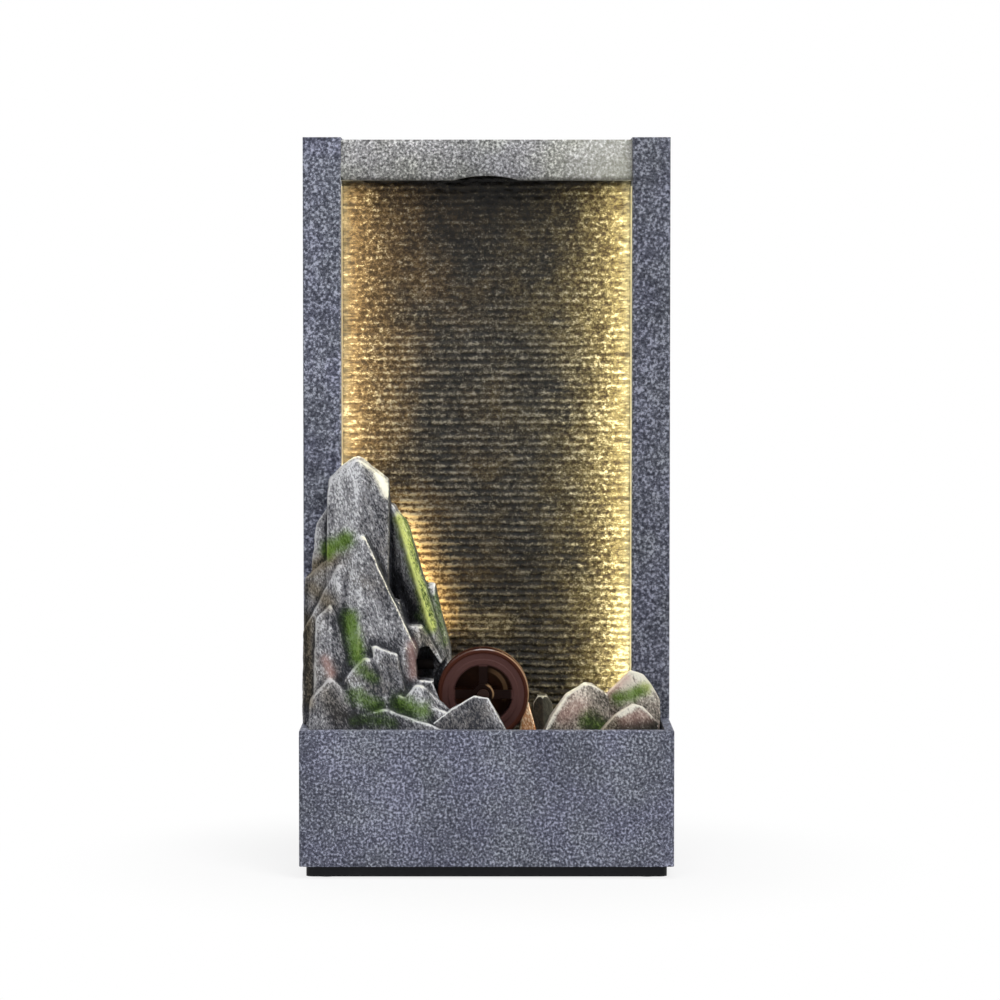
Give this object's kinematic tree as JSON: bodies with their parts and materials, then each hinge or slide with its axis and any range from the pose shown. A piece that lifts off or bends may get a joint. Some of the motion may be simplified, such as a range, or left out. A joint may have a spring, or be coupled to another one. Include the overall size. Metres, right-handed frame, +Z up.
{
  "type": "tabletop fountain",
  "caption": "Tabletop water-wall fountain: granite-look basin and frame, ribbed slate wall with warm edge lights, mossy rockery and a turning water wheel fed by a hidden pump.",
  "frame": {"origin": "middle of the footprint, on the surface that the pads stand on", "axes": "+X to the fountain's right seen from the front, +Y to its back, +Z up"},
  "size_m": [0.28, 0.18, 0.555],
  "materials": {
    "granite_resin": "cast resin with a speckled granite look",
    "slate_resin": "dark slate look, wet",
    "rock_resin": "painted rock with pale edges and moss",
    "black_plastic": "fine matt texture",
    "wheel_plastic": "satin dark brown",
    "pump_plastic": "satin",
    "hose_plastic": "milky",
    "lens_plastic": "milky diffuser",
    "tape": "white film",
    "chip": "phosphor yellow",
    "rubber": "matt",
    "wire": "matt",
    "steel": "bright",
    "brass": "turned",
    "ferrite": "sintered"
  },
  "bodies": {
    "fountain": {"basin": "granite_resin", "left_pillar": "granite_resin", "right_pillar": "granite_resin", "lintel": "granite_resin", "water_wall": "slate_resin", "rockery": "rock_resin", "front_stone": "rock_resin", "low_stone": "rock_resin", "tall_stone": "rock_resin", "small_stone": "rock_resin", "wet_pebble": "rock_resin", "lit_pebble": "rock_resin", "plinth": "black_plastic", "deck": "black_plastic", "rear_cover": "black_plastic", "top_cover": "black_plastic", "spill_trough": "black_plastic", "trough_barb": "black_plastic", "barb_nut": "black_plastic", "tee_fitting": "black_plastic", "spout": "black_plastic", "power_box": "black_plastic", "dc_inlet": "black_plastic", "inlet_nut": "black_plastic", "front_post": "wheel_plastic", "rear_post": "wheel_plastic", "pump_body": "pump_plastic", "pump_volute": "pump_plastic", "pump_strainer": "pump_plastic", "riser_hose": "hose_plastic", "wheel_hose": "hose_plastic", "left_led_lens": "lens_plastic", "right_led_lens": "lens_plastic", "rock_led_lens": "lens_plastic", "left_led_tape": "tape", "right_led_tape": "tape", "rock_led_tape": "tape", "left_led_chips": "chip", "right_led_chips": "chip", "anti_slip_pads": "rubber", "suction_cups": "rubber", "pump_lead": "wire", "left_led_lead": "wire", "right_led_lead": "wire", "rock_led_lead": "wire", "plinth_screws": "steel", "rear_cover_screws": "steel", "pump_shaft": "steel", "wheel_bushes": "brass"},
    "water_wheel": {"wheel_front_shroud": "wheel_plastic", "wheel_rear_shroud": "wheel_plastic", "wheel_buckets": "wheel_plastic", "wheel_axle": "steel"},
    "pump_impeller": {"rotor_magnet": "ferrite", "impeller": "pump_plastic"},
    "flow_dial": {"flow_dial": "pump_plastic"}
  },
  "joints": [
    {"name": "wheel_spin", "type": "hinge", "parent": "fountain", "child": "water_wheel", "pos_m": [-0.0026, -0.036, 0.134], "axis": [0, 1, 0], "continuous": true},
    {"name": "impeller_spin", "type": "hinge", "parent": "fountain", "child": "pump_impeller", "pos_m": [-0.006, 0.055, 0.0372], "axis": [1, 0, 0], "continuous": true},
    {"name": "flow_dial_turn", "type": "hinge", "parent": "fountain", "child": "flow_dial", "pos_m": [0.018, 0.055, 0.0372], "axis": [1, 0, 0], "range_deg": [0, 90]}
  ]
}
